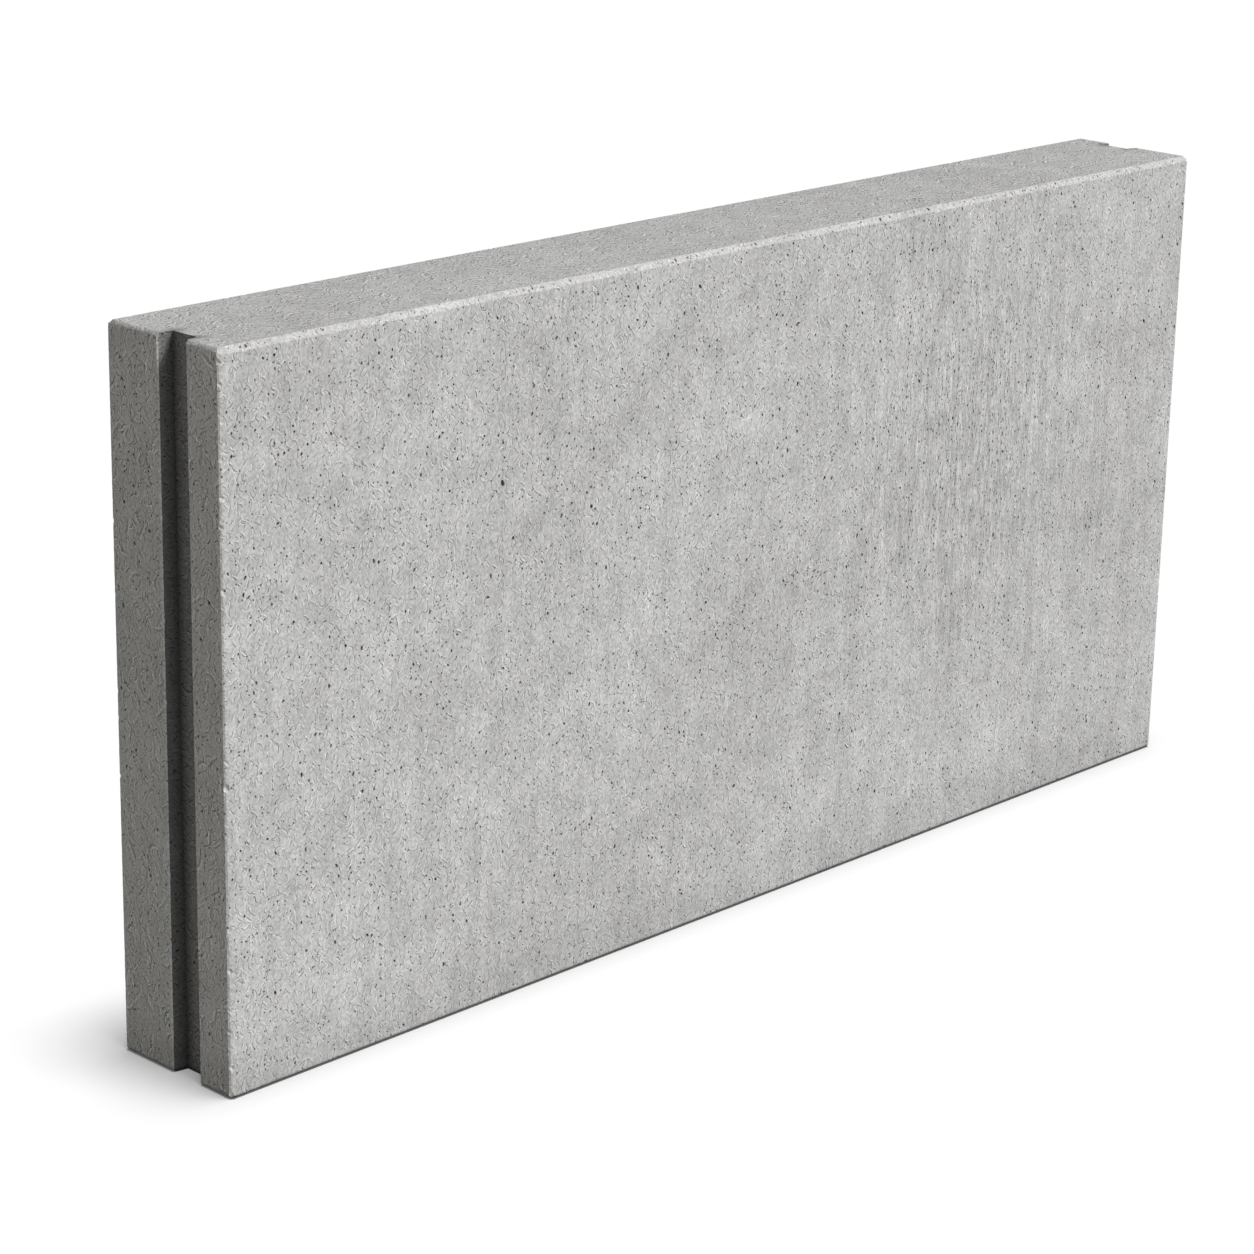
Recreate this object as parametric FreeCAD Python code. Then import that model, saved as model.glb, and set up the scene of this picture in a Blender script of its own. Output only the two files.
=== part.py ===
# Precast concrete kerb, a slab-shaped edging unit that stands on its long narrow side.
# One solid of concrete, with a tapered joint groove cast down each end.
# Frame: origin at the middle of the base, +X along the length, +Y through the thickness,
# +Z up. The exposed face looks along -Y. Millimetres.
import FreeCAD
import Part
import os

Vector = FreeCAD.Vector

# overall size
LENGTH = 1000.0
THICKNESS = 110.0
HEIGHT = 500.0

# 45 degree arrises: along the top's two long edges, across the top at each end, all round
# the base, and down the four upright corners
TOP_LONG_CHAMFER = 3.8
TOP_END_CHAMFER = 2.2
BASE_CHAMFER = 2.2
UPRIGHT_CHAMFER = 2.0

# joint groove in each end: a trapezium in plan, open at the top and at the base
GROOVE_MOUTH = 27.5
GROOVE_FLOOR = 23.5
GROOVE_DEPTH = 11.0
# eased edge at each side of the groove's mouth
GROOVE_EASE = 0.8
# distance of the groove's centre from the middle of the thickness. The left end's groove is
# toward the exposed face and the right end's is toward the back, so a unit turned end for
# end looks the same
GROOVE_OFFSET = 9.5


def prism(points, direction):
    """A solid swept from a closed outline of 3D points."""
    wire = Part.makePolygon([Vector(*p) for p in points + points[:1]])
    return Part.Face(wire).extrude(Vector(*direction))


def chamfered_outline(half_a, low_b, high_b, low_cut, high_cut):
    """A rectangle from -half_a to half_a, with its lower and upper corners cut at 45 degrees."""
    return [
        (-half_a + low_cut, low_b),
        (half_a - low_cut, low_b),
        (half_a, low_b + low_cut),
        (half_a, high_b - high_cut),
        (half_a - high_cut, high_b),
        (-half_a + high_cut, high_b),
        (-half_a, high_b - high_cut),
        (-half_a, low_b + low_cut),
    ]


def slab():
    """The block with every outer edge cut at 45 degrees."""
    x = LENGTH / 2.0
    y = THICKNESS / 2.0
    side = chamfered_outline(x, 0.0, HEIGHT, BASE_CHAMFER, TOP_END_CHAMFER)
    end = chamfered_outline(y, 0.0, HEIGHT, BASE_CHAMFER, TOP_LONG_CHAMFER)
    plan = chamfered_outline(x, -y, y, UPRIGHT_CHAMFER, UPRIGHT_CHAMFER)
    along_y = prism([(a, -y, b) for a, b in side], (0.0, THICKNESS, 0.0))
    along_x = prism([(-x, a, b) for a, b in end], (LENGTH, 0.0, 0.0))
    along_z = prism([(a, b, 0.0) for a, b in plan], (0.0, 0.0, HEIGHT))
    return along_y.common(along_x).common(along_z)


def groove(sign):
    """The tool that cuts the groove in the end at sign * LENGTH / 2."""
    over = 20.0
    centre = sign * GROOVE_OFFSET
    end = LENGTH / 2.0
    mouth = GROOVE_MOUTH / 2.0
    floor = GROOVE_FLOOR / 2.0
    lip = mouth + GROOVE_EASE
    half = [
        (end + over, lip + over),
        (end, lip),
        (end - GROOVE_EASE, mouth),
        (end - GROOVE_DEPTH, floor),
    ]
    outline = [(sign * x, centre + y, -over) for x, y in half]
    outline += [(sign * x, centre - y, -over) for x, y in reversed(half)]
    return prism(outline, (0.0, 0.0, HEIGHT + 2.0 * over))


def kerb():
    shape = slab()
    for sign in (-1.0, 1.0):
        shape = shape.cut(groove(sign))
    return shape.removeSplitter()


os.makedirs("parts", exist_ok=True)
solid = kerb().Solids[0]
solid.exportStep("parts/kerb.step")
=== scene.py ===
# A precast concrete kerb on a white floor. The kerb's faces are taken from the CAD solid and
# rebuilt as one detailed mesh: air holes cast into every face, ragged arrises and small chips.
# Metres, in the CAD frame: +X along the kerb, +Y toward its back, +Z up.
import math
import random

import bmesh
import bpy
from mathutils import Matrix, Vector, noise
from mathutils.geometry import delaunay_2d_cdt


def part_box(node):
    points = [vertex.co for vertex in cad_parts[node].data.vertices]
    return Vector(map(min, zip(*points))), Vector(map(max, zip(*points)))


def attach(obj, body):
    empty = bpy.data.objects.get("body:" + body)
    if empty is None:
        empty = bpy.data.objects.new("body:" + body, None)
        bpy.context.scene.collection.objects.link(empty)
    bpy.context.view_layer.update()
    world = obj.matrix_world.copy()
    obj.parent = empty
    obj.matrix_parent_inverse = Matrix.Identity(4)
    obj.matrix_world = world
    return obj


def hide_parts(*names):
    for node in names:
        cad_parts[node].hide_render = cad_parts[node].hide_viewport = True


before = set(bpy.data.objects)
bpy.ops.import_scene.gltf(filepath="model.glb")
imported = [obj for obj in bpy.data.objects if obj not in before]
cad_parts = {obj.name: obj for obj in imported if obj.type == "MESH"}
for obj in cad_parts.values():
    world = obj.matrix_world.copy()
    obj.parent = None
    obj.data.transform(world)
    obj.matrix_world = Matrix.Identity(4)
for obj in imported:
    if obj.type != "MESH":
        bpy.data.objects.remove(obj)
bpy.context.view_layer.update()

MM = 0.001
NODE = "kerb"
SEED = 41

LOW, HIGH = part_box(NODE)
LENGTH, THICKNESS, HEIGHT = HIGH - LOW
CENTRE = (LOW + HIGH) / 2

# camera: aimed at a point near the middle of the kerb, from the left, in front and above
CAMERA_AZIMUTH = math.radians(-46.2)
CAMERA_ELEVATION = math.radians(17.8)
CAMERA_ROLL = math.radians(1.1)
CAMERA_DISTANCE = 2.588
CAMERA_LENS = 103.0
CAMERA_AIM = CENTRE + Vector((-0.080 * LENGTH, 0.0, -0.063 * HEIGHT))

# light, as the level that a surface square to it would show
KEY_DIRECTION = Vector((0.28, -0.69, 0.545))
KEY_ANGLE = math.radians(18.0)
OVERHEAD_DIRECTION = Vector((0.027, -0.06, 1.0))
OVERHEAD_LEVEL = 4.2
OVERHEAD_ANGLE = math.radians(13.0)
SKY_LEVEL = 0.33
FLOOR_SIZE = 24.0
FLOOR_GAP = 0.05 * MM
# the floor throws back this share of its light to the camera, and glows by the rest of white
FLOOR_SHARE = 0.20
FLOOR_GLOW = 0.10
FLOOR_BOUNCE = 0.057

# how nearly a part of a unit normal is 1 where a face is square to an axis, or close to it
SQUARE = 0.999
NEARLY_SQUARE = 0.9
# how close two of the solid's points are to be one, and how level two faces are to be one
SAME_POINT = 1e-6
SAME_PLANE = math.radians(1.0)

# where the mould's upright streaks are strongest, on the exposed face
STREAK_CENTRE = CENTRE + Vector((0.24 * LENGTH, -0.5 * THICKNESS, 0.16 * HEIGHT))
STREAK_ROWS = 22

# chips: the mean distance between two along an arris, and the shortest arris that has any
TOP_CHIP_SPACING = 15.0 * MM
CHIP_SPACING = 34.0 * MM
NEAR_TOP = 10.0 * MM
LEAST_CHIPPED = 20.0 * MM
# the least radius in millimetres, how much more it may be, and the depth as a share of it
CHIP_RADIUS = 0.7
CHIP_SPARE = 1.7
CHIP_DEPTH = (0.35, 0.75)
CORNER_INSET = 2.5 * MM
CORNER_RADIUS = (2.5, 4.0)
CORNER_DEPTH = (0.12, 0.3)
# the larger chips of the front's left arris: height as a share of the kerb's, and radius in mm
LARGE_CHIPS = ((0.43, 3.2), (0.18, 2.4), (0.69, 2.2), (0.86, 1.9), (0.955, 2.2))
LARGE_CHIP_DEPTH = 0.5

# mesh detail: the steps between points along an arris's edge, along a square edge and in a chip
EDGE_STEP = 4.0 * MM
SQUARE_EDGE_STEP = 3 * EDGE_STEP
CHIP_STEP = 0.8 * MM
CHIP_GAP = 0.7 * MM
CHIP_REACH = 1.4
STEP_JITTER = (0.75, 1.25)
PIT_GAP = 0.6 * MM
# how far the edges of an arris, and the arris between them, stray from straight
EDGE_RAGGED = 0.13 * MM
ARRIS_UNEVEN = 0.08 * MM
# how many swells to the metre that has, and its finer part has, and the finer part's share
UNEVEN_SCALE = 260.0
FINE_SCALE = 700.0
FINE_SHARE = 0.6
ROUNDING = 0.45  # how far an arris bulges from its flat chamfer toward a quarter round
# the bulge fades in over this many half widths, and starts this share of them from an end
BULGE_RUN = 3
BULGE_START = 0.3
NOOK_REACH = 9.0 * MM
INNER_ANGLE = -0.1  # an edge whose signed angle is less is an inner corner
# rows of points along a strip, as shares of its half width, and the step along them
ARRIS_ROWS = (-0.6, 0.0, 0.6)
ARRIS_STEP = 3.0 * MM
GROOVE_ROWS = (-0.85, -0.6, -0.25, 0.25, 0.6, 0.85)
GROOVE_STEP = 10.0 * MM
ROW_JITTER = (0.7, 1.3)
PATTERN_SHIFT = Vector((0.831, 0.577))  # from one face's patterns to the next's, so none is alike


# ---------------------------------------------------------------- the CAD solid's flat faces


def plane_axes(normal):
    """Two unit vectors that span the plane with this normal, the second upward or along X."""
    level = abs(normal.z) > NEARLY_SQUARE
    up = Vector((1.0, 0.0, 0.0)) if level else Vector((0.0, 0.0, 1.0))
    across = up.cross(normal).normalized()
    return across, normal.cross(across)


def cad_solid(node):
    """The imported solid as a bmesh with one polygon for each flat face."""
    solid = bmesh.new()
    solid.from_mesh(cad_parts[node].data)
    bmesh.ops.remove_doubles(solid, verts=solid.verts, dist=SAME_POINT)
    bmesh.ops.dissolve_limit(
        solid, angle_limit=SAME_PLANE, verts=solid.verts, edges=solid.edges
    )
    solid.normal_update()
    return solid


def kind_of(face):
    """What a flat face of the kerb is: a broad face, a groove's wall or floor, or an arris."""
    normal = face.normal
    centre = face.calc_center_median()
    longest = max(e.calc_length() for e in face.edges)
    if max(abs(c) for c in normal) > SQUARE:
        if abs(normal.x) < SQUARE:
            return "face"
        return "face" if abs(centre.x) > LENGTH / 2 - MM else "groove"
    # a groove's walls splay, so they are only nearly square to the block
    if abs(normal.y) > NEARLY_SQUARE and longest > HEIGHT / 2:
        return "groove"
    return "arris"


# ---------------------------------------------------------------- chips and ragged edges


class Chip:
    """A place where an arris is knocked off, as a ball that eats into it."""

    def __init__(self, centre, radius, depth):
        self.centre = centre
        self.radius = radius
        self.depth = depth

    def bite(self, point):
        reach = (point - self.centre).length / self.radius
        return self.depth * (1.0 - reach * reach) if reach < 1.0 else 0.0


def scatter_chips(solid, rng):
    """Small chips at random along every arris, one on each corner, and the few larger ones."""
    chips = []
    for edge in solid.edges:
        kinds = {kind_of(f) for f in edge.link_faces}
        length = edge.calc_length()
        if kinds != {"face", "arris"} or length < LEAST_CHIPPED:
            continue
        a, b = (v.co for v in edge.verts)
        on_top = min(a.z, b.z) > HIGH.z - NEAR_TOP and length > LENGTH / 2
        spacing = TOP_CHIP_SPACING if on_top else CHIP_SPACING
        for _ in range(int(length / spacing + rng.random())):
            radius = (CHIP_RADIUS + CHIP_SPARE * rng.random() ** 2) * MM
            chips.append(Chip(a.lerp(b, rng.random()), radius, radius * rng.uniform(*CHIP_DEPTH)))
    for corner in outer_corners():
        radius = rng.uniform(*CORNER_RADIUS) * MM
        chips.append(Chip(corner, radius, radius * rng.uniform(*CORNER_DEPTH)))
    front_left = Vector((LOW.x, LOW.y, 0.0))
    for height, radius in LARGE_CHIPS:
        place = front_left + Vector((MM, 0.0, height * HEIGHT))
        chips.append(Chip(place, radius * MM, LARGE_CHIP_DEPTH * radius * MM))
    return chips


def outer_corners():
    """The block's eight corners, a little inside its box."""
    length, thickness, height = (size / 2 - CORNER_INSET for size in (LENGTH, THICKNESS, HEIGHT))
    return [
        CENTRE + Vector((x * length, y * thickness, z * height))
        for x in (-1, 1)
        for y in (-1, 1)
        for z in (-1, 1)
    ]


class ChipField:
    """Chips sorted into cells, so that a point is tested only against those near it."""

    CELL = 10 * MM

    def __init__(self, chips):
        self.cells = {}
        for chip in chips:
            for key in self.keys_round(chip.centre):
                self.cells.setdefault(key, []).append(chip)

    def key(self, point):
        return tuple(math.floor(c / self.CELL) for c in point)

    def keys_round(self, point):
        x, y, z = self.key(point)
        return [
            (x + i, y + j, z + k) for i in (-1, 0, 1) for j in (-1, 0, 1) for k in (-1, 0, 1)
        ]

    def near(self, point):
        return self.cells.get(self.key(point), [])

    def bite(self, point):
        return max((chip.bite(point) for chip in self.near(point)), default=0.0)

    def busy(self, point):
        """Whether a chip is close enough to need finer steps here."""
        return any((point - c.centre).length < CHIP_REACH * c.radius for c in self.near(point))


# ---------------------------------------------------------------- the detailed mesh


class Skin:
    """Collects the vertices and triangles of the detailed kerb.

    For each point it holds how deep in an air hole it lies, from 0 to 1, and the normals of the
    flats and of the soft arrises that it is on. For each triangle it holds the marks of its
    patch, and its corners' places on that patch."""

    def __init__(self):
        self.points = []
        self.hollow = []
        self.flats = []
        self.softs = []
        self.triangles = []
        self.marks = []
        self.planes = []

    def add_point(self, point, hollow=0.0):
        self.points.append(point.copy())
        self.hollow.append(hollow)
        self.flats.append([])
        self.softs.append([])
        return len(self.points) - 1


class Patch:
    """One flat face of the solid: its plane, and the points that cover it.

    Places on it are 2D: the first axis runs along an arris or a groove, or level on a broad
    face, and the second across it or upward."""

    def __init__(self, face, number, skin):
        self.kind = kind_of(face)
        self.normal = face.normal.copy()
        self.marks = self.find_marks()
        self.area = face.calc_area()
        self.origin = face.calc_center_median()
        self.skin = skin
        if self.kind == "face":
            self.across, self.along = plane_axes(self.normal)
        else:
            longest = max(face.edges, key=lambda e: e.calc_length())
            a, b = (v.co for v in longest.verts)
            self.across = (b - a).normalized()
            self.along = self.normal.cross(self.across)
        self.corners = [self.to_plane(v.co) for v in face.verts]
        self.low = Vector((min(p.x for p in self.corners), min(p.y for p in self.corners)))
        self.high = Vector((max(p.x for p in self.corners), max(p.y for p in self.corners)))
        self.shift = PATTERN_SHIFT * number
        self.flat = {}

    def find_marks(self):
        """What the material has to know of this face."""
        marks = {self.kind}
        if abs(self.normal.x) > NEARLY_SQUARE:
            marks.add("end")
        if self.kind == "face" and abs(self.normal.z) > NEARLY_SQUARE:
            marks.add("level")
        # the upright arrises carry a painted highlight, paler than the concrete around them
        if self.kind == "arris" and abs(self.normal.z) < 1.0 - NEARLY_SQUARE:
            marks.add("worn")
        return marks

    def to_plane(self, point):
        offset = point - self.origin
        return Vector((offset.dot(self.across), offset.dot(self.along)))

    def bulge(self, place):
        """How far the rounded arris stands out of its chamfer here."""
        if self.kind != "arris":
            return 0.0
        half = (self.high.y - self.low.y) / 2
        across = place.y - (self.high.y + self.low.y) / 2
        from_end = min(place.x - self.low.x, self.high.x - place.x)
        fade = max(0.0, min(1.0, from_end / (BULGE_RUN * half) - BULGE_START))
        rise = math.sqrt(max(2 * half * half - across * across, 0.0)) - half
        return ROUNDING * fade * max(rise, 0.0)

    def to_space(self, place):
        flat = self.origin + self.across * place.x + self.along * place.y
        return flat + self.normal * self.bulge(place)

    def keep(self, index, place, sunk=False):
        """Notes that a point of the skin lies on this face, and where."""
        self.flat[index] = place
        soft = self.kind == "arris" and not sunk
        (self.skin.softs if soft else self.skin.flats)[index].append(self.normal)

    def add_point(self, place, depth=0.0, hollow=0.0):
        index = self.skin.add_point(self.to_space(place) - self.normal * depth, hollow)
        self.keep(index, place, sunk=depth > 0.0)
        return index

    def add_triangle(self, corners):
        self.skin.triangles.append(tuple(corners))
        self.skin.marks.append(self.marks)
        for i in corners:
            self.skin.planes += (*(self.flat[i] + self.shift), 0.0)


def split_edge(edge, field, rng, skin):
    """Indices of new points along an edge, in order from its first vertex to its second."""
    a, b = (v.co for v in edge.verts)
    length = (b - a).length
    kinds = {kind_of(f) for f in edge.link_faces}
    step = EDGE_STEP if "arris" in kinds else SQUARE_EDGE_STEP
    places = []
    at = 0.0
    while True:
        here = a.lerp(b, at / length)
        pace = CHIP_STEP if field.busy(here) else step
        at += pace * rng.uniform(*STEP_JITTER)
        if at > length - 0.5 * pace:
            break
        places.append(at / length)
    return [skin.add_point(a.lerp(b, t)) for t in places]


class Spread:
    """Places circles on a patch so that none meets another or the outline."""

    CELL = 8 * MM

    def __init__(self, patch, outline):
        self.patch = patch
        self.cells = {}
        self.walls = {}
        for i, a in enumerate(outline):
            b = outline[(i + 1) % len(outline)]
            pieces = max(1, int((b - a).length / self.CELL * 2))
            for k in range(pieces + 1):
                self.walls.setdefault(self.key(a.lerp(b, k / pieces)), []).append((a, b))

    def key(self, point):
        return (math.floor(point.x / self.CELL), math.floor(point.y / self.CELL))

    def around(self, store, point):
        x, y = self.key(point)
        for i in (-1, 0, 1):
            for j in (-1, 0, 1):
                yield from store.get((x + i, y + j), ())

    def inside(self, point):
        crossings = False
        corners = self.patch.corners
        for i, a in enumerate(corners):
            b = corners[(i + 1) % len(corners)]
            if (a.y > point.y) != (b.y > point.y):
                if point.x < a.x + (point.y - a.y) / (b.y - a.y) * (b.x - a.x):
                    crossings = not crossings
        return crossings

    def clear(self, point, radius):
        for a, b in self.around(self.walls, point):
            along = b - a
            t = max(0.0, min(1.0, (point - a).dot(along) / max(along.length_squared, 1e-12)))
            if (point - (a + along * t)).length < radius + PIT_GAP:
                return False
        for other, reach in self.around(self.cells, point):
            if (point - other).length < radius + reach + PIT_GAP:
                return False
        return self.inside(point)

    def take(self, point, radius):
        """Keeps this place if it is free, and says whether it was."""
        free = self.clear(point, radius)
        if free:
            self.cells.setdefault(self.key(point), []).append((point, radius))
        return free

    def anywhere(self, rng):
        low, high = self.patch.low, self.patch.high
        return Vector((rng.uniform(low.x, high.x), rng.uniform(low.y, high.y)))


# air holes: how many to the square metre, and their least and greatest radius in millimetres
PITS = {
    "face": {"fine": (6000, 0.55, 0.95), "open": (1700, 0.80, 1.15), "large": (12, 1.3, 1.8)},
    "groove": {"fine": (3000, 0.55, 0.85), "open": (700, 0.80, 1.10), "large": (0, 1.4, 2.0)},
    "arris": {"fine": (52000, 0.50, 0.75), "open": (12000, 0.65, 1.05), "large": (0, 1.4, 2.0)},
}
# the least that a hole is drawn out across its patch, and how much more it may be
PIT_STRETCH = {"face": (1.0, 0.9), "groove": (1.0, 0.9), "arris": (1.5, 1.5)}
PIT_SIDES = {"fine": 5, "open": 7, "large": 10}
PIT_SWAY = 0.5  # how far a hole's long axis strays from that, in radians
# shares of its radius: how uneven the rim is, how deep the cone of a fine hole or the bowl of a
# wider one is, and how far off centre the bowl's middle may be
PIT_RIM = (0.85, 1.15)
CONE_DEPTH = (1.0, 1.7)
BOWL_DEPTH = (0.9, 1.5)
BOWL_MIDDLE = (-0.15, 0.15)
# the ring part way down a bowl: shares of the rim's size and of the depth, and how hollow it is
RING_SIZE = (0.6, 0.8)
RING_DEPTH = 0.75
RING_HOLLOW = 0.85

# the rows of holes in the mould's streaks: where they start about STREAK_CENTRE, how many holes
# each has, the steps between them and their radius in millimetres, and their shape
ROW_SPREAD = 0.065
ROW_START = (0.070, 0.035)
ROW_PITS = (5, 18)
ROW_STEP = (5.5, 12.0)
ROW_WANDER = 0.09
ROW_RADIUS = (0.45, 0.70)
ROW_STRETCH = (2.0, 4.2)
ROW_SWAY = 0.12


class Pit:
    """An uneven oval air hole on a patch."""

    def __init__(self, size, centre, radius, stretch, sway, rng):
        self.size = size
        self.centre = centre
        self.radius = radius
        turn = math.pi / 2 + rng.gauss(0.0, sway)
        sides = PIT_SIDES[size]
        self.rim = []
        for i in range(sides):
            angle = 2 * math.pi * i / sides
            reach = radius * rng.uniform(*PIT_RIM)
            x = reach * math.cos(angle) * stretch
            y = reach * math.sin(angle)
            across = x * math.cos(turn) - y * math.sin(turn)
            along = x * math.sin(turn) + y * math.cos(turn)
            self.rim.append(centre + Vector((across, along)))

    def sink(self, patch, rim_ids, rng):
        """Fills the rim with a hollow: a plain cone, or one with a ring part way down."""
        sides = len(self.rim)
        if self.size == "fine":
            bottom = patch.add_point(self.centre, self.radius * rng.uniform(*CONE_DEPTH), 1.0)
            for i in range(sides):
                patch.add_triangle((rim_ids[i], rim_ids[(i + 1) % sides], bottom))
            return
        depth = self.radius * rng.uniform(*BOWL_DEPTH)
        off_centre = Vector((rng.uniform(*BOWL_MIDDLE), rng.uniform(*BOWL_MIDDLE)))
        middle = self.centre + off_centre * self.radius
        ring = []
        for point in self.rim:
            low = middle + (point - self.centre) * rng.uniform(*RING_SIZE)
            ring.append(patch.add_point(low, RING_DEPTH * depth, RING_HOLLOW))
        bottom = patch.add_point(middle, depth, 1.0)
        for i in range(sides):
            j = (i + 1) % sides
            patch.add_triangle((rim_ids[i], rim_ids[j], ring[j]))
            patch.add_triangle((rim_ids[i], ring[j], ring[i]))
            patch.add_triangle((ring[i], ring[j], bottom))


def scatter_pits(patch, spread, rng):
    """Air holes at random places all over a patch."""
    pits = []
    least, spare = PIT_STRETCH[patch.kind]
    for size, (density, smallest, largest) in sorted(PITS[patch.kind].items(), reverse=True):
        for _ in range(int(density * patch.area + rng.random())):
            radius = MM * (smallest + (largest - smallest) * rng.random() ** 1.7)
            stretch = least + spare * rng.random() ** 2
            centre = spread.anywhere(rng)
            if spread.take(centre, radius * stretch):
                pits.append(Pit(size, centre, radius, stretch, PIT_SWAY, rng))
    return pits


def line_up_pits(patch, spread, rng):
    """Upright rows of narrow air holes, left where the mould was drawn off."""
    pits = []
    middle = patch.to_plane(STREAK_CENTRE)
    for _ in range(STREAK_ROWS):
        place = middle + Vector((rng.gauss(0.0, ROW_SPREAD), rng.gauss(*ROW_START)))
        for _ in range(rng.randint(*ROW_PITS)):
            step = Vector((rng.gauss(0.0, ROW_WANDER), -1.0)) * rng.uniform(*ROW_STEP) * MM
            place = place + step
            radius = rng.uniform(*ROW_RADIUS) * MM
            stretch = rng.uniform(*ROW_STRETCH)
            if spread.take(place, radius * stretch):
                pits.append(Pit("fine", place, radius, stretch, ROW_SWAY, rng))
    return pits


def extra_points(patch, spread, field, rng):
    """Rows of points along an arris or a groove, and more of them where an arris is chipped."""
    rows, step = (ARRIS_ROWS, ARRIS_STEP) if patch.kind == "arris" else (GROOVE_ROWS, GROOVE_STEP)
    middle = (patch.low.y + patch.high.y) / 2
    half = (patch.high.y - patch.low.y) / 2
    points = []
    for row in rows:
        x = patch.low.x
        while x < patch.high.x:
            x += step * rng.uniform(*ROW_JITTER)
            point = Vector((x, middle + row * half))
            if spread.clear(point, 0.0):
                points.append(point)
    if patch.kind == "arris":
        for _ in range(int(patch.area / CHIP_GAP ** 2)):
            point = spread.anywhere(rng)
            if field.busy(patch.to_space(point)) and spread.take(point, 0.0):
                points.append(point)
    return points


# what the triangulation is asked for, and how near two of its points may be
INSIDE_ONLY = 1
LEAST_DISTANCE = 1e-9


def cover_face(face, number, edge_points, vertex_ids, field, skin, rng):
    """Triangulates one flat face of the solid, with its air holes."""
    patch = Patch(face, number, skin)
    ids = []
    for loop in face.loops:
        ids.append(vertex_ids[loop.vert])
        run = edge_points[loop.edge]
        ids += run if loop.edge.verts[0] is loop.vert else run[::-1]
    outline = [patch.to_plane(skin.points[i]) for i in ids]
    for index, place in zip(ids, outline):
        patch.keep(index, place)

    spread = Spread(patch, outline)
    pits = line_up_pits(patch, spread, rng) if patch.normal.y < -SQUARE else []
    pits += scatter_pits(patch, spread, rng)
    places = list(outline)
    borders = [(i, (i + 1) % len(outline)) for i in range(len(outline))]
    rim_of = {}
    rims = []
    for pit_number, pit in enumerate(pits):
        start = len(places)
        sides = len(pit.rim)
        places += pit.rim
        ids += [patch.add_point(place) for place in pit.rim]
        borders += [(start + i, start + (i + 1) % sides) for i in range(sides)]
        rims.append(ids[start:])
        rim_of.update({start + i: pit_number for i in range(sides)})
    if patch.kind != "face":
        extra = extra_points(patch, spread, field, rng)
        places += extra
        ids += [patch.add_point(place) for place in extra]

    made = delaunay_2d_cdt(places, borders, [], INSIDE_ONLY, LEAST_DISTANCE)
    if len(made[0]) != len(places):
        raise RuntimeError("two outlines met while a face was being covered")
    source = [old[0] for old in made[3]]
    for triangle in made[2]:
        corners = [source[i] for i in triangle]
        rims_met = {rim_of.get(i) for i in corners}
        # a triangle with all its corners on one rim would be a lid over the hole
        if len(rims_met) > 1 or None in rims_met:
            patch.add_triangle([ids[i] for i in corners])
    for pit, rim in zip(pits, rims):
        pit.sink(patch, rim, rng)


def wear_down(skin, field):
    """Moves the points of the arrises: uneven cast edges, and the chips knocked out of them."""
    for index, soft in enumerate(skin.softs):
        if not soft:
            continue
        start = skin.points[index]
        out = sum(soft, Vector()).normalized()
        uneven = noise.noise(start * UNEVEN_SCALE) + FINE_SHARE * noise.noise(start * FINE_SCALE)
        reach = EDGE_RAGGED if skin.flats[index] else ARRIS_UNEVEN
        move = out * (uneven * reach - field.bite(start))
        for flat in skin.flats[index]:
            move -= flat * move.dot(flat)
        skin.points[index] = start + move


def inner_corners(solid):
    """The two ends of each edge where the solid's faces make an inner corner."""
    return [
        tuple(v.co.copy() for v in edge.verts)
        for edge in solid.edges
        if edge.calc_face_angle_signed() < INNER_ANGLE
    ]


def corner_shade(point, corners):
    """How much painted shade darkens a point by an inner corner: 1 in the corner, falling to 0 at
    NOOK_REACH from it.
    """
    if abs(point.x) < LENGTH / 2 - 2 * NOOK_REACH:
        return 0.0
    nearest = NOOK_REACH
    for a, b in corners:
        along = b - a
        t = max(0.0, min(1.0, (point - a).dot(along) / along.length_squared))
        nearest = min(nearest, (point - a - along * t).length)
    return 1.0 - nearest / NOOK_REACH


def kerb_mesh():
    """The whole kerb as one closed mesh, with what the material needs on its points and faces."""
    rng = random.Random(SEED)
    noise.seed_set(SEED)
    solid = cad_solid(NODE)
    field = ChipField(scatter_chips(solid, rng))
    skin = Skin()
    vertex_ids = {vertex: skin.add_point(vertex.co) for vertex in solid.verts}
    edge_points = {edge: split_edge(edge, field, rng, skin) for edge in solid.edges}
    for number, face in enumerate(solid.faces):
        cover_face(face, number, edge_points, vertex_ids, field, skin, rng)
    corners = inner_corners(solid)
    corner_shades = [corner_shade(point, corners) for point in skin.points]
    solid.free()
    wear_down(skin, field)

    mesh = bpy.data.meshes.new("kerb_body")
    mesh.from_pydata(skin.points, [], skin.triangles)
    for name, values in (("hollow", skin.hollow), ("corner_shade", corner_shades)):
        mesh.attributes.new(name, "FLOAT", "POINT").data.foreach_set("value", values)
    for name in ("arris", "groove", "end", "level", "worn"):
        values = [1.0 if name in marks else 0.0 for marks in skin.marks]
        mesh.attributes.new(name, "FLOAT", "FACE").data.foreach_set("value", values)
    plane = mesh.attributes.new("plane", "FLOAT_VECTOR", "CORNER")
    plane.data.foreach_set("vector", skin.planes)
    mesh.validate()
    mesh.update()
    return mesh


# ---------------------------------------------------------------- the concrete


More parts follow.
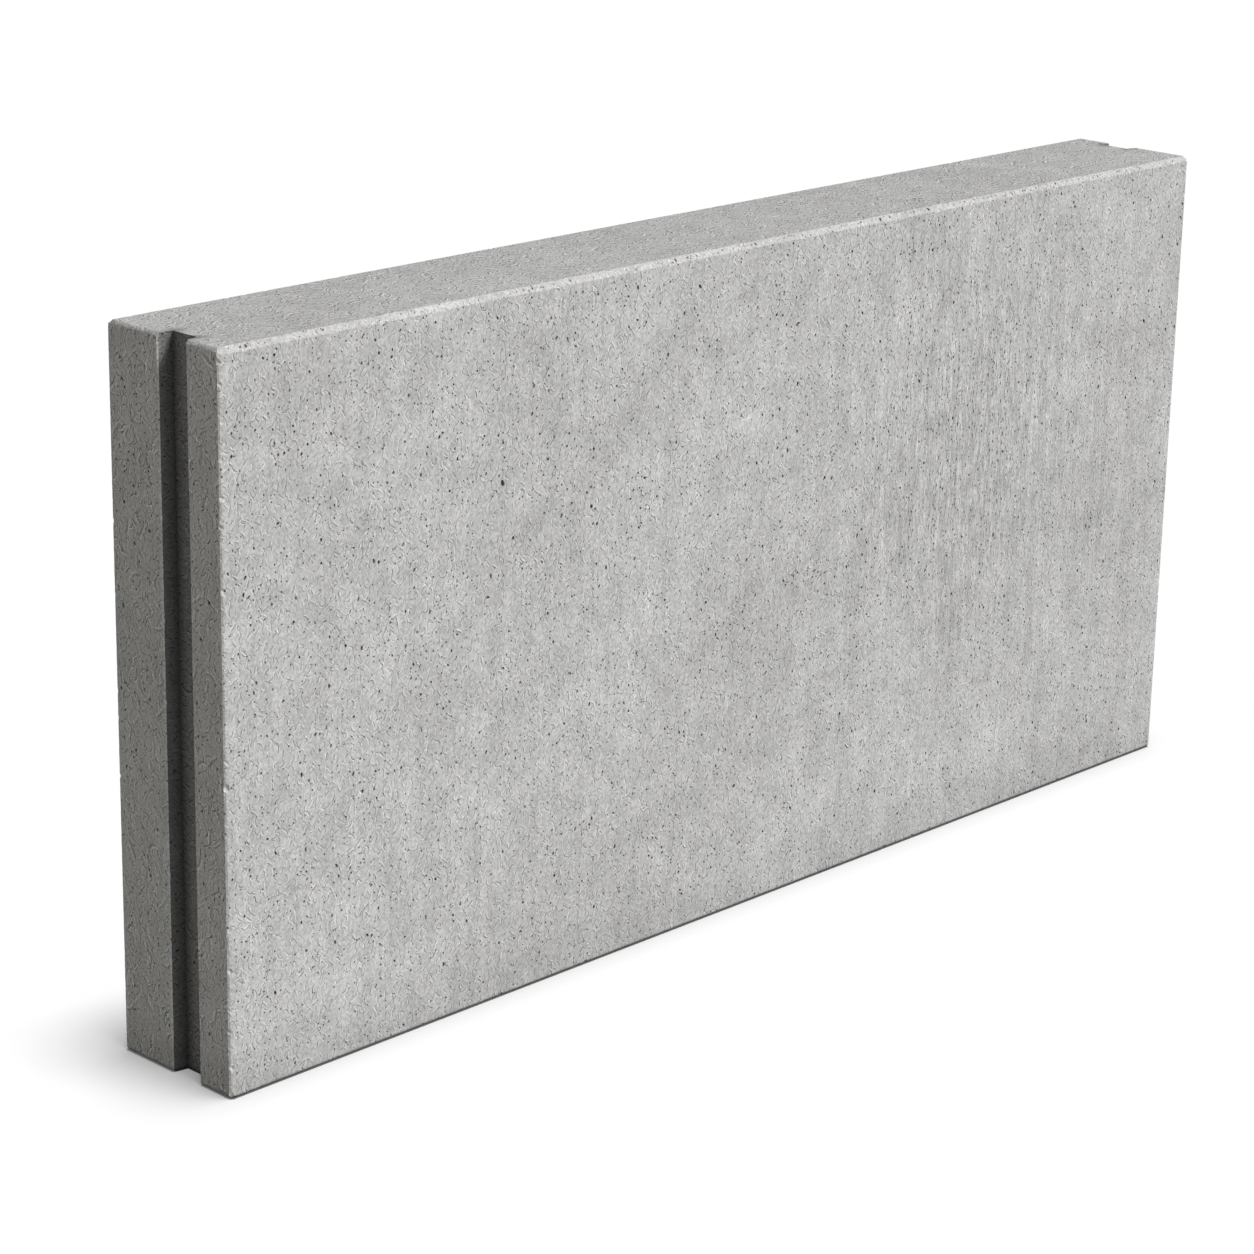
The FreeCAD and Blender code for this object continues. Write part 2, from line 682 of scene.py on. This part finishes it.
class Nodes:
    """Short calls for building a material's node tree."""

    def __init__(self, material):
        material.use_nodes = True
        self.tree = material.node_tree
        self.tree.nodes.clear()

    def add(self, kind, inputs=None, **settings):
        node = self.tree.nodes.new(kind)
        for name, value in settings.items():
            setattr(node, name, value)
        for name, value in (inputs or {}).items():
            if isinstance(value, bpy.types.NodeSocket):
                self.tree.links.new(value, node.inputs[name])
            else:
                node.inputs[name].default_value = value
        return node

    def math(self, operation, *values):
        inputs = dict(enumerate(values))
        return self.add("ShaderNodeMath", inputs, operation=operation).outputs[0]

    def straight(self, value, low, high, to_low=0.0, to_high=1.0, interpolation="LINEAR"):
        """value taken from the range low..high to to_low..to_high, and held there."""
        inputs = {
            "Value": value,
            "From Min": low,
            "From Max": high,
            "To Min": to_low,
            "To Max": to_high,
        }
        node = self.add("ShaderNodeMapRange", inputs, interpolation_type=interpolation)
        return node.outputs[0]

    def ramp(self, value, low, high, to_low=0.0, to_high=1.0):
        """As straight, but it eases in and out."""
        return self.straight(value, low, high, to_low, to_high, "SMOOTHSTEP")

    def scaled(self, vector, scale):
        return self.add("ShaderNodeMapping", {"Vector": vector, "Scale": scale}).outputs[0]

    def noise(self, vector, scale, detail, roughness=0.5):
        inputs = {"Vector": vector, "Scale": scale, "Detail": detail, "Roughness": roughness}
        return self.add("ShaderNodeTexNoise", inputs).outputs["Fac"]

    def attribute(self, name, output="Fac"):
        return self.add("ShaderNodeAttribute", attribute_name=name).outputs[output]

    def mix(self, share, first, second):
        """The first colour where share is 0, and the second where it is 1."""
        node = self.add("ShaderNodeMix", {"Factor": share}, data_type="RGBA")
        # the Mix node has sockets of one name for each kind of value: 6 and 7 are its colours
        for socket, value in ((node.inputs[6], first), (node.inputs[7], second)):
            if isinstance(value, bpy.types.NodeSocket):
                self.tree.links.new(value, socket)
            else:
                socket.default_value = value
        return node.outputs[2]

    def vector_math(self, operation, *values):
        return self.add("ShaderNodeVectorMath", dict(enumerate(values)), operation=operation)

    def cells(self, plane, cell):
        """A 2D Voronoi pattern: its node, and the three random numbers of each cell."""
        inputs = {"Vector": plane, "Scale": 1.0 / cell}
        pattern = self.add("ShaderNodeTexVoronoi", inputs, voronoi_dimensions="2D")
        pick = self.add("ShaderNodeSeparateColor", {"Color": pattern.outputs["Color"]})
        return pattern, pick.outputs

    def swing(self, value, amount):
        """1 at the middle of a noise, and up to half of amount either side of it."""
        return self.math("MULTIPLY_ADD", self.math("SUBTRACT", value, 0.5), amount, 1.0)

    def push(self, value, amount):
        """1, moved by amount where value is 1."""
        return self.math("MULTIPLY_ADD", value, amount, 1.0)


# strokes: how far they may lean, all told, where they lie anyhow and where they are upright
FREE_LEAN = 0.68 * math.pi
UPRIGHT_LEAN = 0.20 * math.pi
# how far they bend and where along them they fade, as shares of a cell, and their strength
STROKE_BEND = 1.6
STROKE_FADE = (0.30, 0.60)
STROKE_STRENGTH = 1.25
HUMP = 2.6  # brings the peak of side * (1 - side * side) to 1


def strokes(nodes, plane, cell, width, upright):
    """Short curved strokes, one in each cell of a Voronoi pattern: a valley beside a ridge.

    They lean anyhow where upright is 0, and hardly at all where it is 1. The value runs from
    about -1 in the valley to 1 on the ridge, and a stroke may be the other way about."""
    pattern, pick = nodes.cells(plane, cell)
    offset = nodes.vector_math("SUBTRACT", plane, pattern.outputs["Position"]).outputs[0]
    lean = nodes.straight(upright, 0.0, 1.0, FREE_LEAN, UPRIGHT_LEAN)
    lean = nodes.math("MULTIPLY", nodes.math("SUBTRACT", pick[0], 0.5), lean)
    turn = {"Vector": offset, "Angle": nodes.math("ADD", lean, math.pi / 2)}
    turned = nodes.add("ShaderNodeVectorRotate", turn, rotation_type="Z_AXIS")
    axes = nodes.add("ShaderNodeSeparateXYZ", {"Vector": turned.outputs[0]})
    along, across = axes.outputs[0], axes.outputs[1]
    most_bend = STROKE_BEND / cell
    bend = nodes.math("MULTIPLY_ADD", pick[1], 2 * most_bend, -most_bend)
    square = nodes.math("MULTIPLY", along, along)
    across = nodes.math("MULTIPLY_ADD", square, bend, across)
    side = nodes.straight(across, -width, width, -1.0, 1.0)
    hump = nodes.math("MULTIPLY_ADD", nodes.math("MULTIPLY", side, side), -HUMP, HUMP)
    hump = nodes.math("MULTIPLY", hump, side)
    full, gone = (share * cell for share in STROKE_FADE)
    reach = nodes.ramp(nodes.math("ABSOLUTE", along), full, gone, 1.0, 0.0)
    strength = nodes.straight(pick[2], 0.0, 1.0, -STROKE_STRENGTH, STROKE_STRENGTH)
    return nodes.math("MULTIPLY", nodes.math("MULTIPLY", hump, reach), strength)


DOT_SOFTNESS = 0.10  # how wide a dot's edge is, as a share of a cell
NO_DOT = -0.1  # the size that leaves a cell without one
SPECK_SHARE = 0.1  # the share of cells that hold a pale speck as well


def dots(nodes, plane, cell, radius, share):
    """Small round dark dots of uneven size in a share of the cells of a Voronoi pattern, and
    pale specks in a few."""
    pattern, pick = nodes.cells(plane, cell)

    def spots(number, least):
        size = nodes.ramp(number, least, 1.0, NO_DOT, radius / cell)
        return nodes.ramp(
            nodes.math("SUBTRACT", size, pattern.outputs["Distance"]), 0.0, DOT_SOFTNESS
        )

    return spots(pick[0], 1.0 - share), spots(pick[1], 1.0 - SPECK_SHARE)


# the concrete's colour where it is pale, where it is dark, and on the ends
COOL_GREY = (0.508, 0.508, 0.502, 1.0)
WARM_GREY = (0.515, 0.508, 0.492, 1.0)
END_GREY = (0.519, 0.510, 0.478, 1.0)

# the noises all over it: swells to the metre, octaves and roughness
NOISES = {
    "clouds": {"scale": 6.0, "detail": 4.0, "roughness": 0.62},
    "blotches": {"scale": 42.0, "detail": 2.0, "roughness": 0.6},
    "grain": {"scale": 480.0, "detail": 1.0, "roughness": 0.7},
}
# the upright ones that the mould left: swells to the metre along X, Y and Z
STREAK_SCALE = (120.0, 120.0, 11.0)
COMB_SCALE = (400.0, 400.0, 50.0)
# the middles of these two noises
STREAK_MIDDLE = 0.54
COMB_MIDDLE = 0.5
# how uneven the clouds make the distance from STREAK_CENTRE: what it is multiplied by is this
# many clouds and this much more
ZONE_CLOUDS = (1.6, 0.2)
# how streaks, combing and the strokes' uprightness fall off with that distance: where they start
# and stop falling, and what they fall from and to
UPRIGHT_ZONE = (0.03, 0.20, 1.0, 0.0)
COMB_ZONE = (0.02, 0.22, 1.0, 0.18)
STREAK_ZONE = (0.03, 0.26, 1.0, 0.45)

# strokes and pinholes, in millimetres: the size of a cell, and half a stroke's width or a
# hole's radius
LONG_STROKES = (6.4, 1.00)
SHORT_STROKES = (4.3, 0.85)
TROWEL_STROKES = (13.0, 1.8)
PINHOLES = (4.6, 0.95)
PINHOLE_SHARE = 0.52
# how much rougher the ends and the top are than the moulded sides, and the arrises
END_ROUGH = 0.35
LEVEL_ROUGH = 0.50
ARRIS_ROUGH = -0.40

# heights between which the painted contact shadow at the base, and the painted shade that darkens
# the kerb towards the bottom, fade out
FOOT_LOW = 0.8 * MM
FOOT_HIGH = 3.8 * MM
LOW_SHADE_HIGH = 60.0 * MM

# how much of the shade each noise swings
SWINGS = {"clouds": 0.40, "blotches": 0.46, "grain": 0.88}
# how much of the shade each mark adds where it is full, or takes away
PUSHES = {
    "streaks": 0.60,
    "combing": 0.95,
    # relief: painted highlight on the strokes' ridges and painted shade in their valleys,
    # following the bump
    "relief": 0.31,
    # valley: more painted shade in the strokes' valleys
    "valley": 0.15,
    # trowel: strokes painted as a dark valley beside a pale ridge, painted shade and highlight
    # with no bump under them
    "trowel": 0.36,
    # pinholes: dots of painted shade, as in small holes
    "pinholes": -0.78,
    "specks": 0.35,
    # hollow: painted shade inside the air holes
    "hollow": -0.64,
    "arris": 0.08,
    # a painted highlight on the upright arrises
    "worn": 0.26,
    # groove: painted shade that darkens the grooves' walls and floor
    "groove": -0.58,
    # painted shade in the inner corners of the grooves
    "corner_shade": -0.60,
    # a painted contact shadow along the base, and painted shade that darkens the kerb towards the
    # bottom
    "foot_shadow": -0.66,
    "low_shade": -0.12,
}
# the painted shade inside an air hole starts and is full at these hollows
HOLLOW_EDGE = (0.02, 0.40)
# the roughness that the shader has over this range of the blotches
SHEEN = (0.3, 0.7, 0.82, 0.94)
# the bump's height, and what the pinholes and the grain add to the relief's
BUMP_HEIGHT = 0.09 * MM
PINHOLE_BUMP = -1.2
GRAIN_BUMP = 0.8


def mould_marks(nodes, place, clouds):
    """Streaks and fine combing left by the mould, and how upright the strokes are."""
    streaks = nodes.noise(nodes.scaled(place, STREAK_SCALE), 1.0, detail=2.0, roughness=0.65)
    combing = nodes.noise(nodes.scaled(place, COMB_SCALE), 1.0, detail=1.0)
    away = nodes.vector_math("DISTANCE", place, STREAK_CENTRE).outputs["Value"]
    away = nodes.math("MULTIPLY", away, nodes.math("MULTIPLY_ADD", clouds, *ZONE_CLOUDS))
    streaks = nodes.math("SUBTRACT", streaks, STREAK_MIDDLE)
    combing = nodes.math("SUBTRACT", combing, COMB_MIDDLE)
    marks = {
        "streaks": nodes.math("MULTIPLY", streaks, nodes.ramp(away, *STREAK_ZONE)),
        "combing": nodes.math("MULTIPLY", combing, nodes.ramp(away, *COMB_ZONE)),
    }
    return marks, nodes.ramp(away, *UPRIGHT_ZONE)


def surface_marks(nodes, upright, arris, end, level):
    """The strokes, pinholes and pale specks in the concrete's skin."""
    plane = nodes.attribute("plane", "Vector")

    def lay(size, width):
        return strokes(nodes, plane, size * MM, width * MM, upright)

    # the ends and the top were worked by hand, and are rougher than the moulded sides
    rough = nodes.math("MULTIPLY_ADD", level, LEVEL_ROUGH, 1.0)
    rough = nodes.math("MULTIPLY_ADD", end, END_ROUGH, rough)
    rough = nodes.math("MULTIPLY_ADD", arris, ARRIS_ROUGH, rough)
    relief = nodes.math("ADD", lay(*LONG_STROKES), lay(*SHORT_STROKES))
    relief = nodes.math("MULTIPLY", relief, rough)
    worked = nodes.math("ADD", end, level)
    cell, radius = PINHOLES
    pinholes, specks = dots(nodes, plane, cell * MM, radius * MM, PINHOLE_SHARE)
    return {
        "relief": relief,
        "valley": nodes.math("MINIMUM", relief, 0.0),
        "trowel": nodes.math("MULTIPLY", lay(*TROWEL_STROKES), worked),
        "pinholes": pinholes,
        "specks": specks,
    }


def foot_shadow_marks(nodes, place):
    """Painted shade: a dark contact shadow where the kerb meets the floor, and the kerb darker
    towards the bottom above it.
    """
    rise = nodes.add("ShaderNodeSeparateXYZ", {"Vector": place}).outputs[2]
    return {
        "foot_shadow": nodes.ramp(rise, LOW.z + FOOT_LOW, LOW.z + FOOT_HIGH, 1.0, 0.0),
        "low_shade": nodes.ramp(rise, LOW.z, LOW.z + LOW_SHADE_HIGH, 1.0, 0.0),
    }


def concrete():
    material = bpy.data.materials.new("cast_concrete")
    nodes = Nodes(material)
    place = nodes.add("ShaderNodeTexCoord").outputs["Object"]
    noises = {name: nodes.noise(place, **settings) for name, settings in NOISES.items()}
    marks = {name: nodes.attribute(name) for name in ("arris", "worn", "groove", "corner_shade")}
    marks["hollow"] = nodes.ramp(nodes.attribute("hollow"), *HOLLOW_EDGE)
    end = nodes.attribute("end")
    mould, upright = mould_marks(nodes, place, noises["clouds"])
    marks |= mould
    marks |= surface_marks(nodes, upright, marks["arris"], end, nodes.attribute("level"))
    marks |= foot_shadow_marks(nodes, place)

    factors = [nodes.swing(noises[name], amount) for name, amount in SWINGS.items()]
    factors += [nodes.push(marks[name], amount) for name, amount in PUSHES.items()]
    shade = factors[0]
    for factor in factors[1:]:
        shade = nodes.math("MULTIPLY", shade, factor)

    tint = nodes.mix(nodes.math("SUBTRACT", 1.0, noises["clouds"]), COOL_GREY, WARM_GREY)
    tint = nodes.mix(end, tint, END_GREY)
    colour = nodes.add("ShaderNodeVectorMath", {0: tint, "Scale": shade}, operation="SCALE")

    height = nodes.math("MULTIPLY_ADD", marks["pinholes"], PINHOLE_BUMP, marks["relief"])
    height = nodes.math("MULTIPLY_ADD", noises["grain"], GRAIN_BUMP, height)
    bump = nodes.add(
        "ShaderNodeBump", {"Height": height, "Strength": 1.0, "Distance": BUMP_HEIGHT}
    )

    shader = nodes.add(
        "ShaderNodeBsdfPrincipled",
        {
            "Base Color": colour.outputs[0],
            "Roughness": nodes.ramp(noises["blotches"], *SHEEN),
            "Normal": bump.outputs[0],
            "Specular IOR Level": 0.25,
        },
    )
    out = nodes.add("ShaderNodeOutputMaterial")
    nodes.tree.links.new(shader.outputs[0], out.inputs[0])
    return material


def add_kerb():
    body = bpy.data.objects.new("kerb_body", kerb_mesh())
    bpy.context.scene.collection.objects.link(body)
    body.data.materials.append(concrete())
    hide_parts(NODE)
    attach(body, "root")
    return body


# ---------------------------------------------------------------- the studio


def floor_material():
    """White to the camera, shadow and all, but a dull grey to the light it throws back."""
    material = bpy.data.materials.new("floor_white")
    nodes = Nodes(material)
    grey = nodes.add("ShaderNodeBsdfDiffuse", {"Color": (FLOOR_SHARE,) * 3 + (1.0,)})
    glow = nodes.add("ShaderNodeEmission", {"Strength": FLOOR_GLOW})
    white = nodes.add("ShaderNodeAddShader", {0: grey.outputs[0], 1: glow.outputs[0]})
    dull = nodes.add("ShaderNodeBsdfDiffuse", {"Color": (FLOOR_BOUNCE,) * 3 + (1.0,)})
    path = nodes.add("ShaderNodeLightPath")
    seen = nodes.math("MAXIMUM", path.outputs["Is Camera Ray"], path.outputs["Is Glossy Ray"])
    seen = nodes.math("MAXIMUM", seen, path.outputs["Is Transmission Ray"])
    mix = nodes.add("ShaderNodeMixShader", {0: seen, 1: dull.outputs[0], 2: white.outputs[0]})
    out = nodes.add("ShaderNodeOutputMaterial")
    nodes.tree.links.new(mix.outputs[0], out.inputs[0])
    return material


def add_floor():
    half = FLOOR_SIZE / 2
    mesh = bpy.data.meshes.new("floor")
    corners = [(-half, -half, 0.0), (half, -half, 0.0), (half, half, 0.0), (-half, half, 0.0)]
    mesh.from_pydata(corners, [], [(0, 1, 2, 3)])
    floor = bpy.data.objects.new("floor", mesh)
    bpy.context.scene.collection.objects.link(floor)
    floor.location.z = LOW.z - FLOOR_GAP
    mesh.materials.append(floor_material())
    return floor


def add_sun(name, direction, level, angle, lit):
    """A sun that lights only one object and is blocked by everything."""
    lamp = bpy.data.lights.new(name, "SUN")
    lamp.energy = math.pi * level
    lamp.angle = angle
    sun = bpy.data.objects.new(name, lamp)
    bpy.context.scene.collection.objects.link(sun)
    sun.rotation_euler = direction.to_track_quat("Z", "Y").to_euler()
    receivers = bpy.data.collections.new(f"{name}_lights")
    receivers.objects.link(lit)
    sun.light_linking.receiver_collection = receivers


def add_world():
    """Pale grey light from all round, and white to the camera."""
    world = bpy.data.worlds.new("studio")
    nodes = Nodes(world)
    path = nodes.add("ShaderNodeLightPath")
    seen = nodes.math("MAXIMUM", path.outputs["Is Camera Ray"], path.outputs["Is Glossy Ray"])
    seen = nodes.math("MAXIMUM", seen, path.outputs["Is Transmission Ray"])
    strength = nodes.ramp(seen, 0.0, 1.0, SKY_LEVEL, 1.0)
    sky = nodes.add("ShaderNodeBackground", {"Color": (1.0, 1.0, 1.0, 1.0), "Strength": strength})
    out = nodes.add("ShaderNodeOutputWorld")
    nodes.tree.links.new(sky.outputs[0], out.inputs[0])
    bpy.context.scene.world = world


def add_camera():
    lens = bpy.data.cameras.new("camera")
    lens.lens = CAMERA_LENS
    lens.clip_end = 100.0
    camera = bpy.data.objects.new("camera", lens)
    bpy.context.scene.collection.objects.link(camera)
    back = Vector(
        (
            math.sin(CAMERA_AZIMUTH) * math.cos(CAMERA_ELEVATION),
            -math.cos(CAMERA_AZIMUTH) * math.cos(CAMERA_ELEVATION),
            math.sin(CAMERA_ELEVATION),
        )
    )
    level = Vector((math.cos(CAMERA_AZIMUTH), math.sin(CAMERA_AZIMUTH), 0.0))
    turn = Matrix((level, back.cross(level), back)).transposed().to_4x4()
    place = Matrix.Translation(CAMERA_AIM + back * CAMERA_DISTANCE)
    camera.matrix_world = place @ turn @ Matrix.Rotation(CAMERA_ROLL, 4, "Z")
    bpy.context.scene.camera = camera


kerb = add_kerb()
floor = add_floor()
add_sun("key", KEY_DIRECTION.normalized(), KEY_DIRECTION.length, KEY_ANGLE, kerb)
add_sun("overhead", OVERHEAD_DIRECTION.normalized(), OVERHEAD_LEVEL, OVERHEAD_ANGLE, floor)
add_world()
add_camera()
bpy.context.scene.view_settings.view_transform = "Standard"
